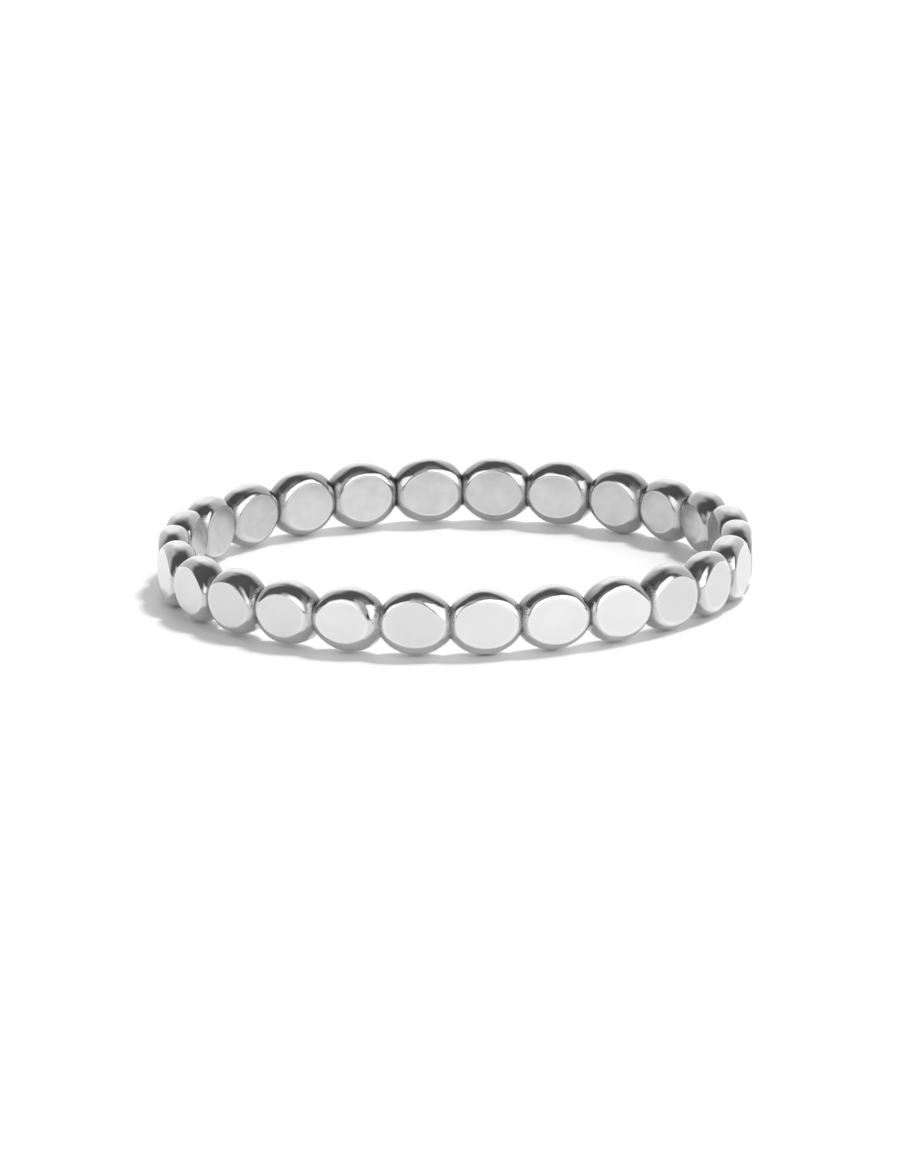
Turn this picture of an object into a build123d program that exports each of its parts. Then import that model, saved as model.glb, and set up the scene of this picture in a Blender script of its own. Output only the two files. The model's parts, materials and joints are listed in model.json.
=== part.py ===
# A stackable finger ring: one closed row of small metal beads, soldered bead to bead and
# then flattened, so that each bead has a polished flat outside and one inside, with a
# rounded rim above and below. The ring lies on its side, as it rests on a table.
#
# Frame: millimetres, +Z up along the finger's axis, origin on that axis, on the surface
# that the ring lies on. A joint between two beads faces -Y, the front.

import os

from build123d import *

# Driving sizes
FINGER_DIAMETER = 17.3  # between opposite inner flats: a US size 7 ring
BAND_THICKNESS = 1.03  # from the inner flats to the outer flats
BEAD_COUNT = 26

# One bead before it is flattened: an ellipsoid, longer than its share of the row, so
# that it runs into its neighbours and a waist is left between them
BEAD_LENGTH = 2.50  # along the row
BEAD_DEPTH = 1.58  # radial
BEAD_HEIGHT = 2.16  # along the finger's axis

# What follows from them
BORE_RADIUS = FINGER_DIAMETER / 2
OUTER_FLAT_RADIUS = BORE_RADIUS + BAND_THICKNESS
ROW_RADIUS = BORE_RADIUS + BAND_THICKNESS / 2  # the circle that the bead centres lie on
PITCH_ANGLE = 360 / BEAD_COUNT
FRONT_ANGLE = -90 + PITCH_ANGLE / 2  # of the first bead, so that a waist faces -Y


def flattened_bead():
    """One bead at the +X side of the row: an ellipsoid with its outer side cut flat."""
    round_bead = scale(Sphere(1), by=(BEAD_DEPTH / 2, BEAD_LENGTH / 2, BEAD_HEIGHT / 2))
    # Only the stretch inside the outer flat is kept
    kept = Pos(OUTER_FLAT_RADIUS - ROW_RADIUS - BEAD_DEPTH, 0, 0) * Box(
        2 * BEAD_DEPTH, 2 * BEAD_LENGTH, 2 * BEAD_HEIGHT
    )
    return Pos(ROW_RADIUS, 0, BEAD_HEIGHT / 2) * (round_bead & kept)


def beaded_band():
    """The whole ring: the beads fused into one row, and the finger's bore through it."""
    bead = flattened_bead()
    beads = [Rot(Z=FRONT_ANGLE + k * PITCH_ANGLE) * bead for k in range(BEAD_COUNT)]
    row = beads[0].fuse(*beads[1:])
    bore = Cylinder(BORE_RADIUS, 2 * BEAD_HEIGHT)
    return row - Pos(Z=BEAD_HEIGHT / 2) * bore


os.makedirs("parts", exist_ok=True)
export_step(beaded_band(), "parts/beaded_band.step")
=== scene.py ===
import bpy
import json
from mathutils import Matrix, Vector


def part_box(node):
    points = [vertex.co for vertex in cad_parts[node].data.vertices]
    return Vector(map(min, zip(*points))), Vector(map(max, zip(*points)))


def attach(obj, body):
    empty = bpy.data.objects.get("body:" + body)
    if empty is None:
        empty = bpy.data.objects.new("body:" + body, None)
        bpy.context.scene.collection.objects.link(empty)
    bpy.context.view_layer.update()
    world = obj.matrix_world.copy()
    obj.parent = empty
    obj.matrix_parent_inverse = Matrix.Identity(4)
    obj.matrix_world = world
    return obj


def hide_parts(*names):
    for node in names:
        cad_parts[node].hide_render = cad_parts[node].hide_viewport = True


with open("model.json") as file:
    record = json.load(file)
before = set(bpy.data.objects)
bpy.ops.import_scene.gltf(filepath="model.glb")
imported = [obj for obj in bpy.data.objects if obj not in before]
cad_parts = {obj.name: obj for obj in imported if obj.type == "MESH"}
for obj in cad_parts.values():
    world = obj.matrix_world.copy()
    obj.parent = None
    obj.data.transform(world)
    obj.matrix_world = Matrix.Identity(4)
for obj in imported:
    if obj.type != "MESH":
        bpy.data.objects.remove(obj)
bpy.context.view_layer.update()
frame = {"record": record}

import json
import math
import random

import bpy
import numpy as np
from mathutils import Matrix, Vector, noise

MM = 0.001
BAND = "beaded_band"
BEADS = 26

# ---------------------------------------------------------------- sizes from the frame, in mm
bore_mount = frame["record"]["mounts"][0]
BORE = bore_mount["dims"]["r_mm"]
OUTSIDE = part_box(BAND)[1][0] / MM  # the outer flats that face +X and -X touch the box
ROW = (BORE + OUTSIDE) / 2  # the circle that the bead centres lie on
HALF_BAND = (OUTSIDE - BORE) / 2
PITCH = 2 * math.pi / BEADS

# ---------------------------------------------------------------- the beads
# A bead's own axes, in mm: ahead along the row (counter-clockwise from above), up, and out.
HALF_LENGTH = 1.27
REST_HEIGHT = 1.10  # of the bead centres over the surface

# Each flat is an ellipse of this half length and half height. The tables give how far it
# reaches on its four sides, as a share of the ellipse, and how far its two upper corners are
# filled out, or where the share is negative, filed straight.
OUTER_ELLIPSE = (1.00, 0.78)
OUTER_FLATS = {
    # bead: (ahead, up, back, down, upper corner ahead, upper corner back)
    1: (0.90, 0.90, 1.10, 1.05, -0.05, 0.05),
    2: (1.00, 0.95, 1.05, 1.00, -0.10, 0.00),
    3: (1.00, 0.90, 0.95, 1.00, -0.10, 0.05),
    4: (0.90, 0.85, 0.90, 0.95, 0.00, 0.00),
    5: (0.80, 0.85, 0.95, 0.90, -0.05, 0.00),
    6: (1.00, 1.00, 1.00, 0.95, -0.10, 0.00),
    7: (1.00, 1.00, 1.00, 1.00, 0.00, 0.05),
    8: (1.00, 0.95, 1.00, 1.00, 0.00, 0.00),
    9: (1.00, 0.95, 1.05, 1.00, -0.10, 0.00),
    10: (0.90, 0.95, 1.05, 1.00, 0.00, -0.05),
    11: (0.80, 0.95, 1.00, 0.95, 0.00, -0.10),
}
INNER_ELLIPSE = (0.86, 0.74)
INNER_FLATS = {
    # bead: (ahead, up, back, down, upper corner ahead, upper corner back)
    15: (0.80, 0.80, 0.80, 0.80, 0.00, 0.00),
    16: (0.90, 0.95, 0.90, 0.90, 0.00, 0.00),
    17: (0.95, 0.95, 0.95, 1.00, 0.00, -0.05),
    18: (1.00, 0.90, 1.05, 0.95, 0.00, 0.05),
    19: (1.00, 1.00, 1.00, 0.95, 0.00, 0.00),
    20: (1.00, 1.00, 1.00, 0.95, 0.00, 0.00),
    21: (1.00, 1.00, 0.95, 1.00, 0.00, 0.00),
    22: (1.05, 1.00, 1.00, 1.05, 0.00, -0.05),
    23: (1.05, 0.95, 0.95, 1.00, 0.00, 0.00),
    24: (1.05, 1.00, 1.00, 1.05, 0.00, 0.00),
}
# How far a bead's brow, the crest of its rim, lies above and below its centre, in mm
LOW_BROW, HIGH_BROW, TOP_BROW = 1.06, 1.09, 1.12
HIGH_ABOVE = (1, 2, 3, 6, 7, 10, 18)
TOP_ABOVE = (19, 20, 21, 22)
HIGH_BELOW = (1, 7, 17, 21, 22)
# Degrees that a bead sits ahead of its even share of the row
SHIFT = {
    # bead: degrees
    1: -0.5, 9: 0.5, 10: 0.5, 11: 0.5, 16: -0.5, 17: -1.0, 18: -0.5, 19: -0.5, 20: -0.5,
    23: 0.5, 24: 1.0,
}

AROUND = 72  # points round a bead
ALONG_RIM = 14  # steps from a flat's edge to the brow
WORN_EDGE = 0.02  # mm, how far the edge between a flat and the rim is worn back
INNER_WORN_EDGE = 0.05
INNER_DOME = 0.012  # mm that an inner flat's middle stands proud of its edge
# How steeply the rim leaves a flat, in degrees, and how square it is: 1 is a parabola's arc
# from the flat's edge to the brow and more turns tighter at the shoulder.
OUTER_RIM = (18, 1.1)
INNER_RIM = (18, 1.0)
SHOULDER_START = 0.06  # share of the rim that the worn edge rounds off
FLAT_RINGS = (0.3, 0.6, 0.85)  # of points across a flat, from its centre out
EDGE_STEPS = (0, 0.25, 0.5, 0.75)  # of the arc over the worn edge
RIM_WOBBLE, WOBBLE_SCALE = 0.035, 1.5  # mm deep and per mm: the rims are shaped by hand
WOBBLE_FADE = 6  # higher keeps the wobble strong until nearer the flats
WOBBLE_APART = 5.3  # between the noises of two beads


def reach(flat, turn):
    """How far a flat reaches at each turn, as a share of its ellipse."""
    ahead, up, back, down, corner_ahead, corner_back = flat
    along, rise = np.cos(turn), np.sin(turn)
    sides = np.where(along > 0, ahead, back) * along**2 + np.where(rise > 0, up, down) * rise**2
    corner = np.where(along > 0, corner_ahead, corner_back) * np.sin(2 * turn) ** 2
    return sides + np.where(rise > 0, corner, 0)


def flat_edge(ellipse, flat, turn):
    ring = np.stack([ellipse[0] * np.cos(turn), ellipse[1] * np.sin(turn)], 1)
    return reach(flat, turn)[:, None] * ring


def brows(bead):
    """How far a bead's brow lies above and below its centre."""
    above = TOP_BROW if bead in TOP_ABOVE else HIGH_BROW if bead in HIGH_ABOVE else LOW_BROW
    below = HIGH_BROW if bead in HIGH_BELOW else LOW_BROW
    return above, below


def brow_line(above, below, turn):
    height = (above + below) / 2 + (above - below) / 2 * np.sin(turn)
    return np.stack([HALF_LENGTH * np.cos(turn), height * np.sin(turn)], 1)


def rim_ring(edge, brow, rim, step):
    """One ring of the rim, from the flat's edge at step 0 to the brow at step 1."""
    tilt, squareness = rim
    width = np.linalg.norm(brow - edge, axis=1)
    shoulder = HALF_BAND - width * math.tan(math.radians(tilt))
    first, second, third = (1 - step) ** 2, 2 * squareness * step * (1 - step), step**2
    total = first + second + third
    across = (second + third) / total
    out = (first * HALF_BAND + second * shoulder) / total
    return np.column_stack([edge + (brow - edge) * across, out])


def half_bead(edge, brow, rim, worn, dome):
    """Rings from a flat's centre over its worn edge and down the rim to the brow."""
    inward = edge / np.linalg.norm(edge, axis=1, keepdims=True)
    height = np.full(len(edge), HALF_BAND)
    rings = [np.column_stack([edge * share, height - dome * share**2]) for share in FLAT_RINGS]
    corner = np.column_stack([edge, height - dome])
    start = np.column_stack([edge - inward * worn, height - dome])
    end = rim_ring(edge, brow, rim, SHOULDER_START)
    for step in EDGE_STEPS:
        rings.append(start * (1 - step) ** 2 + corner * 2 * step * (1 - step) + end * step**2)
    for step in np.linspace(SHOULDER_START, 1, ALONG_RIM):
        rings.append(rim_ring(edge, brow, rim, step))
    return rings


def bead_rings(outer, inner, above, below):
    turn = np.linspace(0, 2 * math.pi, AROUND, endpoint=False)
    brow = brow_line(above, below, turn)
    outer_edge = flat_edge(OUTER_ELLIPSE, outer, turn)
    inner_edge = flat_edge(INNER_ELLIPSE, inner, turn)
    outside = half_bead(outer_edge, brow, OUTER_RIM, WORN_EDGE, 0)
    inside = half_bead(inner_edge, brow, INNER_RIM, INNER_WORN_EDGE, INNER_DOME)
    return outside + [ring * (1, 1, -1) for ring in inside[-2::-1]]


def wobbled(rings, bead):
    """Lowers the rim by a smooth noise that fades out at both flats."""
    points = np.vstack(rings)
    apart = Vector((bead * WOBBLE_APART, 0, 0))
    dips = np.array([0.5 - noise.noise(Vector(point) * WOBBLE_SCALE + apart) for point in points])
    fade = 1 - np.clip(np.abs(points[:, 2]) / HALF_BAND, 0, 1) ** WOBBLE_FADE
    share = 1 - RIM_WOBBLE * dips * fade / np.linalg.norm(points, axis=1)
    points[:, :2] *= share[:, None]
    return np.split(points, len(rings))


def place(points, angle):
    """From a bead's own axes to the ring's frame, in metres."""
    ahead, up, out = points[:, 0], points[:, 1], points[:, 2]
    radius = ROW + out
    x = radius * math.cos(angle) - ahead * math.sin(angle)
    y = radius * math.sin(angle) + ahead * math.cos(angle)
    return np.column_stack([x, y, REST_HEIGHT + up]) * MM


def closed_skin(rings):
    """Points and faces of a closed surface over rings of equal count, with a point at each end."""
    count, last = len(rings[0]), len(rings) - 1
    points = np.vstack([rings[0].mean(0), *rings, rings[-1].mean(0)])
    end = len(points) - 1
    faces = []
    for j in range(count):
        k = (j + 1) % count
        faces.append((0, 1 + j, 1 + k))
        for i in range(last):
            a, b = 1 + i * count, 1 + (i + 1) * count
            faces.append((a + j, b + j, b + k, a + k))
        faces.append((end, 1 + last * count + k, 1 + last * count + j))
    return points, faces


def bead_angle(bead):
    return -math.pi / 2 + (bead - 6.5) * PITCH + math.radians(SHIFT.get(bead, 0))


def hand_made(rng, size):
    """A flat that the front doesn't show: near an ellipse, none quite alike."""
    sides = [size + rng.uniform(-0.05, 0.05) for _ in range(4)]
    corners = [rng.uniform(-0.06, 0.03) for _ in range(2)]
    return (*sides, *corners)


HIDDEN_OUTER, HIDDEN_INNER = 0.95, 0.96  # mean reach of the flats that don't show
rng = random.Random(11)
OUTER = {bead: OUTER_FLATS.get(bead) or hand_made(rng, HIDDEN_OUTER) for bead in range(1, BEADS + 1)}
INNER = {bead: INNER_FLATS.get(bead) or hand_made(rng, HIDDEN_INNER) for bead in range(1, BEADS + 1)}


def build_beads():
    beads = []
    for bead in range(1, BEADS + 1):
        above, below = brows(bead)
        rings = wobbled(bead_rings(OUTER[bead], INNER[bead], above, below), bead)
        points, faces = closed_skin(rings)
        beads.append((place(points, bead_angle(bead)), faces))
    return beads


# ---------------------------------------------------------------- the solder between beads
# How much solder a joint holds, from 0, where it stays deep between the beads, to 1, where
# it is a rough patch almost level with the flats. A joint has the number of the bead before it.
FILLED = {3: 0.2, 4: 0.5, 5: 1.0, 6: 1.0, 7: 0.9, 8: 0.2, 9: 0.5, 13: 0.4, 16: 0.3, 21: 0.4}
SOLDER_HALF_HEIGHT = 0.46
SOLDER_OUT, SOLDER_EXTRA, SOLDER_IN = 0.35, 0.10, -0.20  # mm from the row
SOLDER_REACH = 0.20  # into the bead on each side
SOLDER_FLARE = 3.6  # how fast it widens towards the beads, in 1/mm
SOLDER_FLARE_OUT = 0.4  # share of that flare across the band
SOLDER_LUMPS, LUMP_SCALE = 0.10, 10  # share of its thickness, and per mm
LUMPS_APART = 7.1  # between the noises of two joints
SOLDER_AROUND, SOLDER_RINGS = 56, 13  # points round it, and rings along it


def build_solder():
    rng = random.Random(5)
    turn = np.linspace(0, 2 * math.pi, SOLDER_AROUND, endpoint=False)
    joints = []
    for bead in range(1, BEADS + 1):
        following = bead % BEADS + 1
        step = (bead_angle(following) - bead_angle(bead)) % (2 * math.pi)
        angle = bead_angle(bead) + step / 2
        fill = rng.uniform(0.95, 1.05)
        face = SOLDER_OUT + SOLDER_EXTRA * FILLED.get(bead, 0)
        middle, half = (face + SOLDER_IN) / 2, (face - SOLDER_IN) / 2
        rings = []
        for along in np.linspace(-SOLDER_REACH, SOLDER_REACH, SOLDER_RINGS):
            grow = SOLDER_FLARE * along**2
            up = (SOLDER_HALF_HEIGHT * fill + grow) * np.sin(turn)
            out = middle + (half + grow * SOLDER_FLARE_OUT) * np.cos(turn)
            ring = np.column_stack([np.full(len(turn), along), up, out])
            for point in ring:
                apart = Vector((bead * LUMPS_APART, 0, 0))
                lump = noise.noise(Vector(point) * LUMP_SCALE + apart)
                point[1:] += (point[1:] - (0, middle)) * lump * SOLDER_LUMPS
            rings.append(ring)
        points, faces = closed_skin(rings)
        joints.append((place(points, angle), faces))
    return joints


# ---------------------------------------------------------------- one mesh
def join(parts, name):
    mesh = bpy.data.meshes.new(name)
    points, faces, start = [], [], 0
    for part_points, part_faces in parts:
        points += [tuple(p) for p in part_points]
        faces += [tuple(start + i for i in face) for face in part_faces]
        start += len(part_points)
    mesh.from_pydata(points, [], faces)
    mesh.update()
    obj = bpy.data.objects.new(name, mesh)
    bpy.context.scene.collection.objects.link(obj)
    return obj


def fuse(obj, others):
    """Joins closed meshes into obj as one skin and removes them."""
    for other in others:
        union = obj.modifiers.new("union", "BOOLEAN")
        union.operation, union.solver, union.object = "UNION", "EXACT", other
        union.use_self = True  # slower, but without it the union collapses
    bpy.context.view_layer.update()
    evaluated = obj.evaluated_get(bpy.context.evaluated_depsgraph_get())
    merged = bpy.data.meshes.new_from_object(evaluated)
    obj.modifiers.clear()
    obj.data = merged
    for other in others:
        bpy.data.objects.remove(other)
    return merged


# ---------------------------------------------------------------- where the finish changes, and where shade and a highlight are painted
JOINT_HALF_WIDTH = 0.15  # mm, of the rough solder at a joint
INNER_SOLDER, CROWN_SOLDER = 0.3, 0.4  # how rough it is inside the ring and on top of a joint
CREASE_WIDTH = 0.035  # mm, of the duller line between two beads, darkened there as painted shade
VALLEY_WIDTH = 0.34  # mm each side of a joint, where the rims are greyer than elsewhere: painted shade between the beads
EDGE_HIGHLIGHT_WIDTH = 0.02  # mm, of the painted highlight, a bright line round a flat along its worn edge
JOINT_SOFT = 0.05  # mm each side of the solder's edge, over which it fades
FACE_DEPTH = (0.06, 0.03)  # mm under a flat's level, where its finish starts and is full
FLAT_FADE = (0.01, -0.03)  # mm past a flat's edge, where its finish starts and is full
OUT_FADE = 0.05  # mm each side of the row, over which inside turns to outside
FILLED_FADE = (0.0, 0.2)  # mm out from the row, where a filled joint starts and is full
INNER_FADE = (0.0, -0.15)  # the same for the solder inside the ring
CROWN_FADE = (0.42, 0.55)  # mm over the centre, the same for the solder on top
CREASE_ANGLE = 35  # degrees, beyond which an edge of the mesh is sharp


def step_between(value, none, full):
    t = np.clip((value - none) / (full - none), 0, 1)
    return t * t * (3 - 2 * t)


def paint(mesh):
    """Stores on each point how far it belongs to a flat, a flat's edge, a joint and so on."""
    points = np.empty(len(mesh.vertices) * 3)
    mesh.vertices.foreach_get("co", points)
    x, y, z = points.reshape(-1, 3).T / MM
    radius, angle, up = np.hypot(x, y), np.arctan2(y, x), z - REST_HEIGHT
    centres = np.array([bead_angle(bead) for bead in range(1, BEADS + 1)])
    apart = (angle[:, None] - centres + math.pi) % (2 * math.pi) - math.pi
    nearest = np.abs(apart).argmin(1)
    apart = apart[np.arange(len(x)), nearest]
    ahead, out = radius * np.sin(apart), radius * np.cos(apart) - ROW
    beyond = np.empty(len(x))
    for bead in range(BEADS):
        for side, ellipse, flats in ((1, OUTER_ELLIPSE, OUTER), (-1, INNER_ELLIPSE, INNER)):
            mine = (nearest == bead) & (out * side >= 0)
            turn = np.arctan2(up[mine] / ellipse[1], ahead[mine] / ellipse[0])
            edge = flat_edge(ellipse, flats[bead + 1], turn)
            beyond[mine] = np.hypot(ahead[mine], up[mine]) - np.linalg.norm(edge, axis=1)
    gaps = centres + (np.roll(centres, -1) - centres) % (2 * math.pi) / 2
    across = np.abs((angle[:, None] - gaps + math.pi) % (2 * math.pi) - math.pi)
    filled = np.array([FILLED.get(bead, 0) for bead in range(1, BEADS + 1)])[across.argmin(1)]
    filled = filled * step_between(out, *FILLED_FADE)
    rough = np.maximum(filled, INNER_SOLDER * step_between(out, *INNER_FADE))
    rough = np.maximum(rough, CROWN_SOLDER * step_between(up, *CROWN_FADE))
    across = across.min(1) * radius
    joint = step_between(across, JOINT_HALF_WIDTH + JOINT_SOFT, JOINT_HALF_WIDTH - JOINT_SOFT)
    face = step_between(np.abs(out), HALF_BAND - FACE_DEPTH[0], HALF_BAND - FACE_DEPTH[1])
    # painted highlight: a bright line round each flat's edge
    worn = np.exp(-((beyond / EDGE_HIGHLIGHT_WIDTH) ** 2))
    values = {
        "flat": face * step_between(beyond, *FLAT_FADE),
        "inner": step_between(out, OUT_FADE, -OUT_FADE),
        "edge": face * worn * step_between(out, -OUT_FADE, OUT_FADE),
        "joint": rough * joint,
        # painted shade along the line between two beads, which is also duller
        "crease": (1 - filled) * np.exp(-((across / CREASE_WIDTH) ** 2)),
        # painted shade on the rims each side of a joint
        "valley_shade": np.exp(-((across / VALLEY_WIDTH) ** 2)),
    }
    for name, value in values.items():
        layer = mesh.attributes.new(name, "FLOAT", "POINT")
        layer.data.foreach_set("value", value.astype(np.float32))


beads = build_beads()
ring = join(beads[0::2], "flattened_beads")
merged = fuse(ring, [join(beads[1::2], "other_beads"), join(build_solder(), "solder")])
paint(merged)
merged.shade_smooth()
merged.set_sharp_from_angle(angle=math.radians(CREASE_ANGLE))
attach(ring, "root")
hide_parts(BAND)

# ---------------------------------------------------------------- materials
class Graph:
    """Short names for the nodes and links of one node tree."""

    def __init__(self, tree):
        self.tree = tree

    def node(self, kind, **settings):
        made = self.tree.nodes.new(kind)
        for name, value in settings.items():
            setattr(made, name, value)
        return made

    def link(self, source, socket):
        if hasattr(source, "is_linked"):
            self.tree.links.new(source, socket)
        else:
            socket.default_value = source

    def math(self, operation, *values):
        made = self.node("ShaderNodeMath", operation=operation)
        for socket, value in zip(made.inputs, values):
            self.link(value, socket)
        return made.outputs[0]

    def dot(self, first, second):
        made = self.node("ShaderNodeVectorMath", operation="DOT_PRODUCT")
        self.link(first, made.inputs[0])
        self.link(second, made.inputs[1])
        return made.outputs["Value"]

    def fade(self, value, none, full):
        """0 where value is at none, 1 at full, and a smooth step between."""
        return self.span(value, none, full, 0, 1, "SMOOTHSTEP")

    def span(self, value, low, high, to_low, to_high, kind="LINEAR"):
        made = self.node("ShaderNodeMapRange", interpolation_type=kind)
        for name, number in zip(("Value", "From Min", "From Max", "To Min", "To Max"),
                                (value, low, high, to_low, to_high)):
            self.link(number, made.inputs[name])
        return made.outputs["Result"]

    def noise(self, where, scale, detail=2.0, roughness=0.5):
        made = self.node("ShaderNodeTexNoise")
        self.link(where, made.inputs["Vector"])
        for name, number in (("Scale", scale), ("Detail", detail), ("Roughness", roughness)):
            made.inputs[name].default_value = number
        return made.outputs["Fac"]

    def attribute(self, name):
        return self.node("ShaderNodeAttribute", attribute_name=name).outputs["Fac"]

    def bump(self, height, strength, distance, normal=None):
        made = self.node("ShaderNodeBump")
        self.link(height, made.inputs["Height"])
        self.link(strength, made.inputs["Strength"])
        made.inputs["Distance"].default_value = distance
        if normal:
            self.link(normal, made.inputs["Normal"])
        return made.outputs["Normal"]


# Of the metal. Noise scales are per mm, and bump distances are in mm.
HAIR_STRETCH, HAIR_SQUEEZE, HAIR_SCALE = 0.5, 16, 2.2  # polishing hairs run along the row
CLOUD_SCALE, GRAIN_SCALE, WAVE_SCALE = 1.1, 16, 2.4
MID_NOISE = (0.3, 0.7)  # the span that most of a noise's values fill
TONE = (0.69, 0.73)
FLAT_TONE, INNER_TONE, VALLEY_SHADE_TONE = -0.04, -0.05, -0.18  # added to the tone in those places, the valley's as painted shade
# the edge's tone is a painted highlight and the crease's is painted shade
EDGE_HIGHLIGHT_TONE, JOINT_TONE, CREASE_SHADE_TONE = 0.10, -0.05, -0.28
INNER_FLAT_TONE = (-0.09, -0.03)
TINT = (1.0, 1.0, 1.005)
ROUGHNESS, FLAT_ROUGHNESS, JOINT_ROUGHNESS = (0.05, 0.09), (0.08, 0.18), (0.10, 0.30)
CREASE_ROUGHNESS = 0.30
FLAT_WAVES, RIM_WAVES, WAVE_BUMP = 0.10, 0.45, 0.02
HAIR_STRENGTH, HAIR_BUMP, GRAIN_BUMP = 0.12, 0.002, 0.05


def white_metal():
    material = bpy.data.materials.new("white_metal")
    material.use_nodes = True
    g = Graph(material.node_tree)
    shader = material.node_tree.nodes["Principled BSDF"]
    shader.inputs["Metallic"].default_value = 1
    mm = g.node("ShaderNodeVectorMath", operation="SCALE")
    g.link(g.node("ShaderNodeTexCoord").outputs["Object"], mm.inputs[0])
    mm.inputs["Scale"].default_value = 1 / MM
    mm = mm.outputs["Vector"]
    parts = g.node("ShaderNodeSeparateXYZ")
    g.link(mm, parts.inputs[0])
    x, y, z = parts.outputs
    along = g.math("MULTIPLY", g.math("ARCTAN2", y, x), ROW)
    rolled = g.node("ShaderNodeCombineXYZ")
    g.link(g.math("MULTIPLY", along, HAIR_STRETCH), rolled.inputs[0])
    g.link(g.math("MULTIPLY", z, HAIR_SQUEEZE), rolled.inputs[2])
    hairs = g.noise(rolled.outputs[0], HAIR_SCALE, 3)
    clouds = g.noise(mm, CLOUD_SCALE, 2)
    grain = g.noise(mm, GRAIN_SCALE, 4, 0.65)
    waves = g.noise(mm, WAVE_SCALE, 1)
    flat, inner, edge, joint, crease, valley_shade = (
        g.attribute(name) for name in ("flat", "inner", "edge", "joint", "crease", "valley_shade"))
    inner_flat = g.math("MULTIPLY", flat, inner)
    rim = g.math("SUBTRACT", 1, flat)

    tone = g.span(clouds, *MID_NOISE, *TONE)
    tone = g.math("MULTIPLY_ADD", flat, FLAT_TONE, tone)
    tone = g.math("MULTIPLY_ADD", inner, INNER_TONE, tone)
    uneven = g.span(waves, *MID_NOISE, *INNER_FLAT_TONE)
    tone = g.math("MULTIPLY_ADD", inner_flat, uneven, tone)
    # painted shade: the rims go greyer near each joint, where the beads shade each other
    tone = g.math("MULTIPLY_ADD", g.math("MULTIPLY", rim, valley_shade), VALLEY_SHADE_TONE, tone)
    # painted highlight: the flats' edges are lightened
    tone = g.math("MULTIPLY_ADD", edge, EDGE_HIGHLIGHT_TONE, tone)
    tone = g.math("MULTIPLY_ADD", joint, JOINT_TONE, tone)
    # painted shade: a dark line in the crease between two beads
    tone = g.math("MULTIPLY_ADD", crease, CREASE_SHADE_TONE, tone)
    colour = g.node("ShaderNodeCombineColor")
    for socket, tint in zip(colour.inputs, TINT):
        g.link(g.math("MULTIPLY", tone, tint), socket)
    g.link(colour.outputs[0], shader.inputs["Base Color"])

    rough = g.span(clouds, *MID_NOISE, *ROUGHNESS)
    rough = g.math("MULTIPLY_ADD", flat, g.span(hairs, *MID_NOISE, *FLAT_ROUGHNESS), rough)
    rough = g.math("MULTIPLY_ADD", joint, g.span(grain, *MID_NOISE, *JOINT_ROUGHNESS), rough)
    rough = g.math("MULTIPLY_ADD", crease, CREASE_ROUGHNESS, rough)
    g.link(rough, shader.inputs["Roughness"])

    normal = g.bump(waves, g.math("MULTIPLY_ADD", rim, RIM_WAVES, FLAT_WAVES), WAVE_BUMP * MM)
    normal = g.bump(hairs, g.math("MULTIPLY", flat, HAIR_STRENGTH), HAIR_BUMP * MM, normal)
    normal = g.bump(grain, joint, GRAIN_BUMP * MM, normal)
    g.link(normal, shader.inputs["Normal"])
    return material


merged.materials.clear()
merged.materials.append(white_metal())

# ---------------------------------------------------------------- floor
TABLE_WHITE, TABLE_ROUGHNESS, HAZE_SCALE = 0.90, (0.42, 0.48), 60


def white_table():
    material = bpy.data.materials.new("white_table")
    material.use_nodes = True
    g = Graph(material.node_tree)
    shader = material.node_tree.nodes["Principled BSDF"]
    where = g.node("ShaderNodeTexCoord").outputs["Object"]
    haze = g.noise(where, HAZE_SCALE, 2)
    shader.inputs["Base Color"].default_value = (TABLE_WHITE, TABLE_WHITE, TABLE_WHITE, 1)
    g.link(g.span(haze, *MID_NOISE, *TABLE_ROUGHNESS), shader.inputs["Roughness"])
    return material


FLOOR_HALF = 1.0  # m
corners = [(-FLOOR_HALF, -FLOOR_HALF, 0), (FLOOR_HALF, -FLOOR_HALF, 0),
           (FLOOR_HALF, FLOOR_HALF, 0), (-FLOOR_HALF, FLOOR_HALF, 0)]
floor_mesh = bpy.data.meshes.new("floor")
floor_mesh.from_pydata(corners, [], [(0, 1, 2, 3)])
floor_mesh.materials.append(white_table())
floor = bpy.data.objects.new("floor", floor_mesh)
bpy.context.scene.collection.objects.link(floor)

# ---------------------------------------------------------------- camera
ELEVATION = math.radians(13.67)
SWING = math.radians(1.19)
ROLL = math.radians(0.86)
DISTANCE = 550 * MM
LENS, SENSOR = 528.4, 36.0  # mm
AIM_LEFT, AIM_DOWN = 0.08 * MM, 0.65 * MM  # from the middle of the ring
cam_data = bpy.data.cameras.new("camera")
cam_data.lens = LENS
cam_data.sensor_width = SENSOR
cam = bpy.data.objects.new("camera", cam_data)
bpy.context.scene.collection.objects.link(cam)
level = math.cos(ELEVATION)
back = Vector((math.sin(SWING) * level, -math.cos(SWING) * level, math.sin(ELEVATION)))
turn = (-back).to_track_quat("-Z", "Y").to_matrix() @ Matrix.Rotation(-ROLL, 3, "Z")
right, up = turn.col[0], turn.col[1]
aim = Vector((0, 0, REST_HEIGHT * MM)) - right * AIM_LEFT - up * AIM_DOWN
cam.location = aim + back * DISTANCE
cam.rotation_euler = turn.to_euler()
bpy.context.scene.camera = cam

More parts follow.
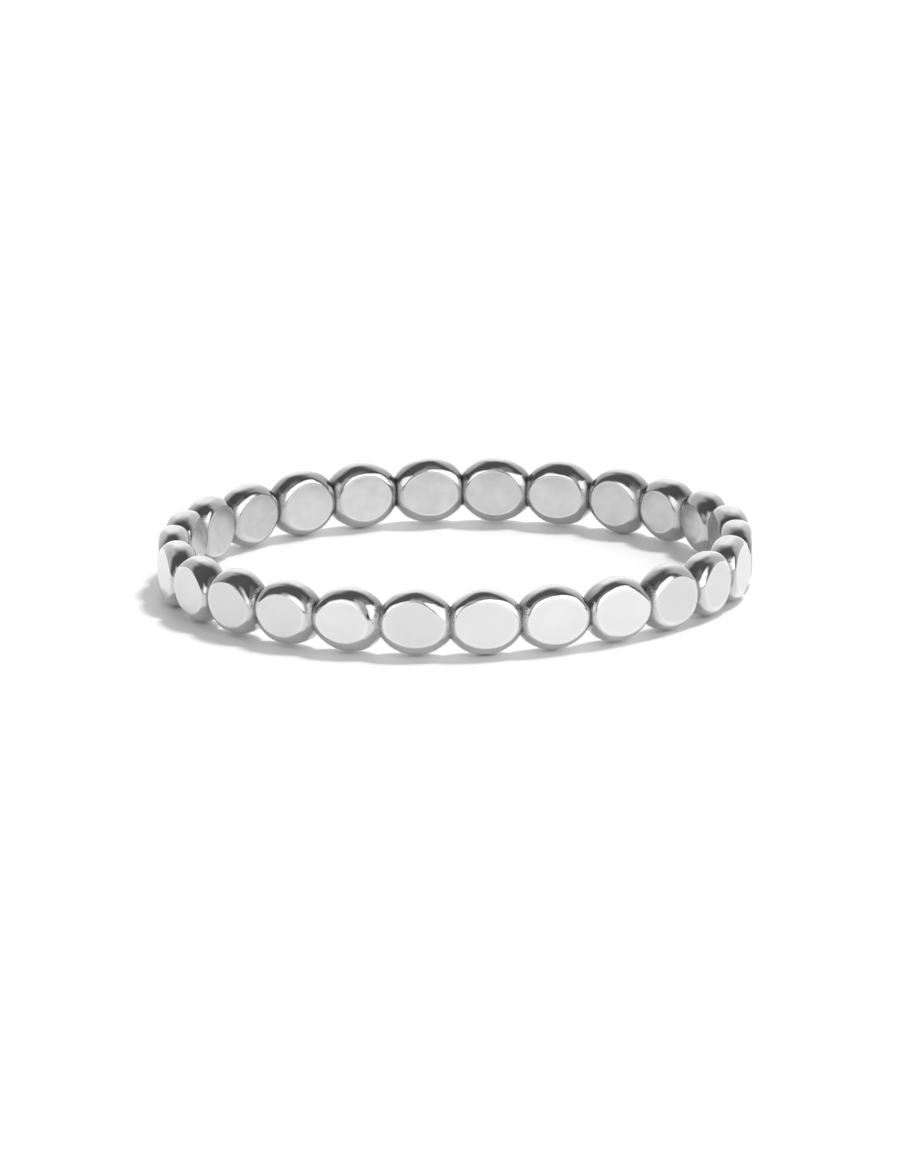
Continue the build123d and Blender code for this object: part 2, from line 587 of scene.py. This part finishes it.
# ---------------------------------------------------------------- light
# The soft studio round the ring, in degrees. Azimuth 0 is the camera's side and 90 the right.
# Each light covers the azimuths within half a width and the elevations from foot to top, and
# fades over its softness across each edge. A negative brightness is a black flag: the
# camera_flag is the dark camera itself, mirrored in the front beads.
LIGHTS = {
    # light: (azimuth, half width, foot, top, side softness, foot softness, top softness, brightness)
    "back_sky": (178, 75, -30, 57, 18, 5, 34, 0.46),
    "back_glow": (180, 40, -30, 58, 50, 5, 42, 0.30),
    "back_window": (-176, 18, -30, 58, 20, 5, 42, 0.32),
    "left_box": (-42, 21, 4, 32, 20, 6, 13, 1.50),
    "left_foot": (-72, 13, -30, 13, 14, 5, 8, 0.42),
    "right_box": (48, 40, 4, 42, 12, 6, 10, 1.90),
    "right_haze": (24, 26, 30, 64, 30, 12, 20, 0.16),
    "front_low": (-9, 13, -30, 46, 10, 5, 22, 0.42),
    "camera_flag": (0, 3, 4, 15, 6, 4, 6, -0.60),
}
FLAT_LIGHTS = ("left_box", "right_box")  # their tops sink towards the ends, as a panel's do
SURROUND, DARKEST = 0.11, 0.03  # the room between the lights, and under the flag
TINY = 0.001  # keeps a division away from zero
KEY_AZIMUTH, KEY_ELEVATION = 136, 63
KEY_SIZE, KEY_DISTANCE, KEY_POWER = 0.12, 0.6, 2.5
FILL_AZIMUTH, FILL_ELEVATION = 100, 78
FILL_SIZE, FILL_DISTANCE, FILL_POWER = 3.0, 0.9, 5.8  # a wide silk over the ring


def direction(azimuth, elevation=0.0):
    a, e = math.radians(azimuth), math.radians(elevation)
    return Vector((math.sin(a) * math.cos(e), -math.cos(a) * math.cos(e), math.sin(e)))


def studio_world():
    world = bpy.data.worlds.new("studio")
    world.use_nodes = True
    g = Graph(world.node_tree)
    background = world.node_tree.nodes["Background"]
    ray = g.node("ShaderNodeTexCoord").outputs["Generated"]
    rise = g.dot(ray, (0, 0, 1))
    level = g.math("SQRT", g.math("SUBTRACT", 1, g.math("MULTIPLY", rise, rise)))
    total = SURROUND
    for name, (azimuth, *angles, brightness) in LIGHTS.items():
        half, foot, top, side_soft, foot_soft, top_soft = (math.radians(value) for value in angles)
        ahead = g.dot(ray, direction(azimuth))
        cosine = g.math("DIVIDE", ahead, g.math("MAXIMUM", level, TINY))
        across = g.math("ARCCOSINE", g.math("MINIMUM", cosine, 1))
        reach = g.math("MAXIMUM", ahead, TINY) if name in FLAT_LIGHTS else level
        elevation = g.math("ARCTAN2", rise, reach)
        mask = g.fade(across, half + side_soft / 2, half - side_soft / 2)
        mask = g.math("MULTIPLY", mask, g.fade(elevation, foot - foot_soft / 2, foot + foot_soft / 2))
        mask = g.math("MULTIPLY", mask, g.fade(elevation, top + top_soft / 2, top - top_soft / 2))
        total = g.math("MULTIPLY_ADD", mask, brightness, total)
    total = g.math("MAXIMUM", total, DARKEST)
    g.link(total, background.inputs["Strength"])
    background.inputs["Color"].default_value = (1, 1, 1, 1)
    return world


def lamp(name, size, power, towards, distance):
    """A round lamp that lights the table but isn't mirrored in the metal."""
    data = bpy.data.lights.new(name, "AREA")
    data.shape = "DISK"
    data.size = size
    data.energy = power
    obj = bpy.data.objects.new(name, data)
    bpy.context.scene.collection.objects.link(obj)
    obj.location = towards * distance
    obj.rotation_euler = towards.to_track_quat("Z", "Y").to_euler()
    obj.visible_camera = False
    obj.visible_glossy = False


bpy.context.scene.world = studio_world()
lamp("key", KEY_SIZE, KEY_POWER, direction(KEY_AZIMUTH, KEY_ELEVATION), KEY_DISTANCE)
lamp("fill", FILL_SIZE, FILL_POWER, direction(FILL_AZIMUTH, FILL_ELEVATION), FILL_DISTANCE)
bpy.context.scene.view_settings.view_transform = "Standard"

bpy.context.view_layer.update()
